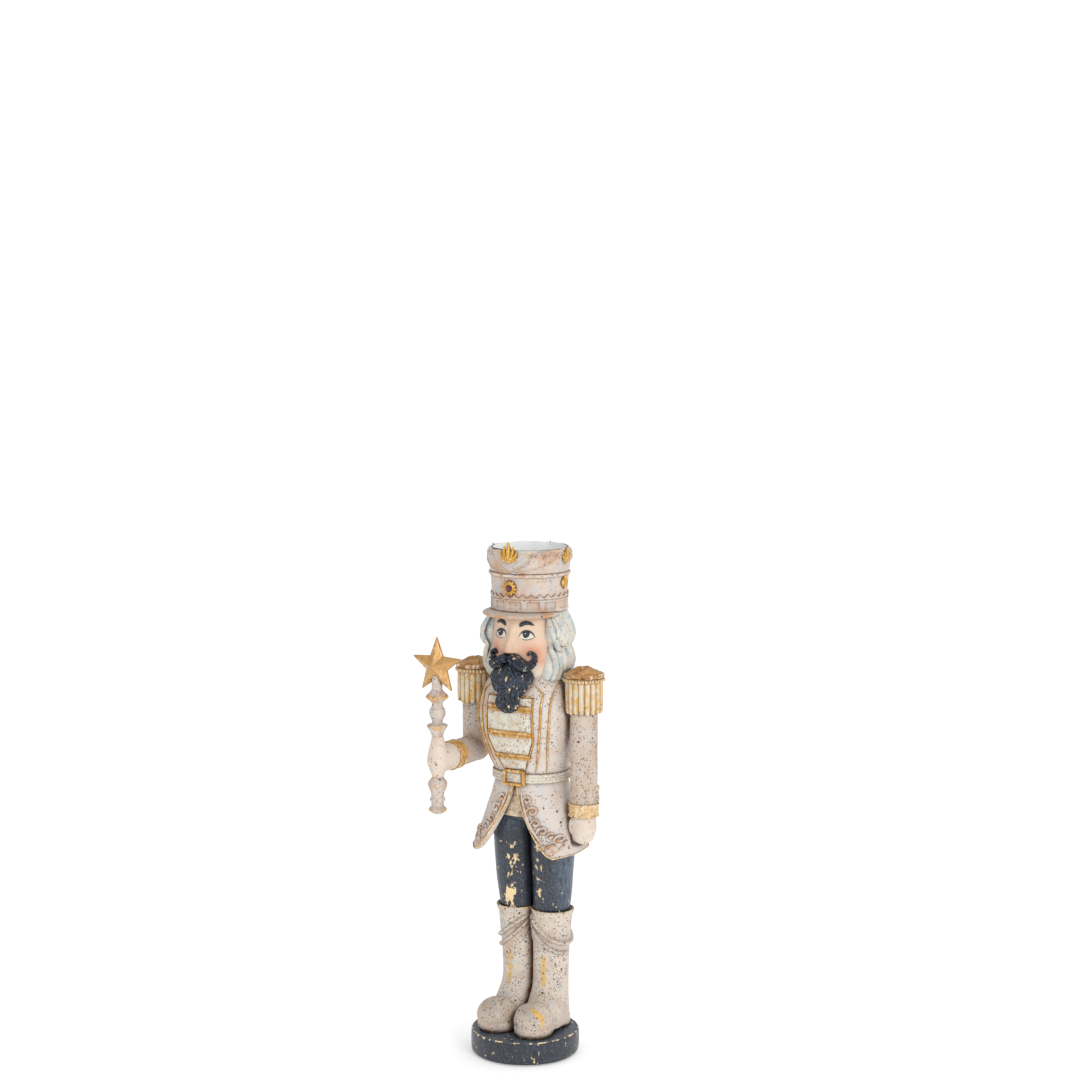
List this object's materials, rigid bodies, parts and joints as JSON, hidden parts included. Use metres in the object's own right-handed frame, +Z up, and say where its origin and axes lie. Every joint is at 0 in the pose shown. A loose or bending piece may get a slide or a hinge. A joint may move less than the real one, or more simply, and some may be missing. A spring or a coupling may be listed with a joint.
{
  "type": "nutcracker figure",
  "caption": "Standing toy-soldier nutcracker figure on a round plinth, holding a star-topped staff, with a lift-out glass tea-light cup in its open-topped hat.",
  "frame": {"origin": "centre of the plinth's underside, where the figure stands", "axes": "+Z up along the figure; the figure faces -Y, so its left hand is at +X"},
  "size_m": [0.1068, 0.0881, 0.3236],
  "materials": {
    "greige_paint": "matte",
    "cream_paint": "matte",
    "navy_paint": "matte",
    "gold_paint": "satin",
    "skin_paint": "matte",
    "hair_paint": "matte",
    "red_stone": "gloss",
    "clear_glass": "gloss",
    "steel_rod": "satin",
    "felt": "matte"
  },
  "bodies": {
    "figure": {"arm_pins": "steel_rod", "base_felt_pad": "felt", "beard": "navy_paint", "belt": "cream_paint", "belt_buckle": "gold_paint", "boot_left": "greige_paint", "boot_right": "greige_paint", "chest_bars": "gold_paint", "chest_panel": "cream_paint", "coat_piping": "gold_paint", "coat_skirt": "greige_paint", "cuff_band_left": "gold_paint", "cuff_band_right": "gold_paint", "epaulette_cap_left": "gold_paint", "epaulette_cap_right": "gold_paint", "epaulette_fringe_left": "cream_paint", "epaulette_fringe_right": "cream_paint", "gem": "red_stone", "gem_setting": "gold_paint", "hair": "hair_paint", "hand_left": "skin_paint", "hand_right": "skin_paint", "hat_band": "greige_paint", "hat_body": "greige_paint", "hat_cord": "gold_paint", "hat_crests": "gold_paint", "hat_drape": "greige_paint", "hat_drops": "gold_paint", "hat_scallop_trim": "gold_paint", "hat_visor": "greige_paint", "head": "skin_paint", "leg_rods": "steel_rod", "moustache": "navy_paint", "plinth": "navy_paint", "seat_block": "navy_paint", "skirt_edge_cord": "gold_paint", "skirt_scroll_left": "greige_paint", "skirt_scroll_right": "greige_paint", "sleeve_left": "greige_paint", "sleeve_right": "greige_paint", "spine_rod": "steel_rod", "staff": "greige_paint", "star": "gold_paint", "torso": "greige_paint", "trouser_leg_left": "navy_paint", "trouser_leg_right": "navy_paint", "waistcoat_hem": "cream_paint", "wrist_pins": "steel_rod"},
    "cup": {"tealight_cup": "clear_glass"}
  },
  "joints": [
    {"name": "tealight_cup_lift", "type": "slide", "parent": "figure", "child": "cup", "axis": [0, 0, 1], "range_m": [0, 0.03]}
  ]
}
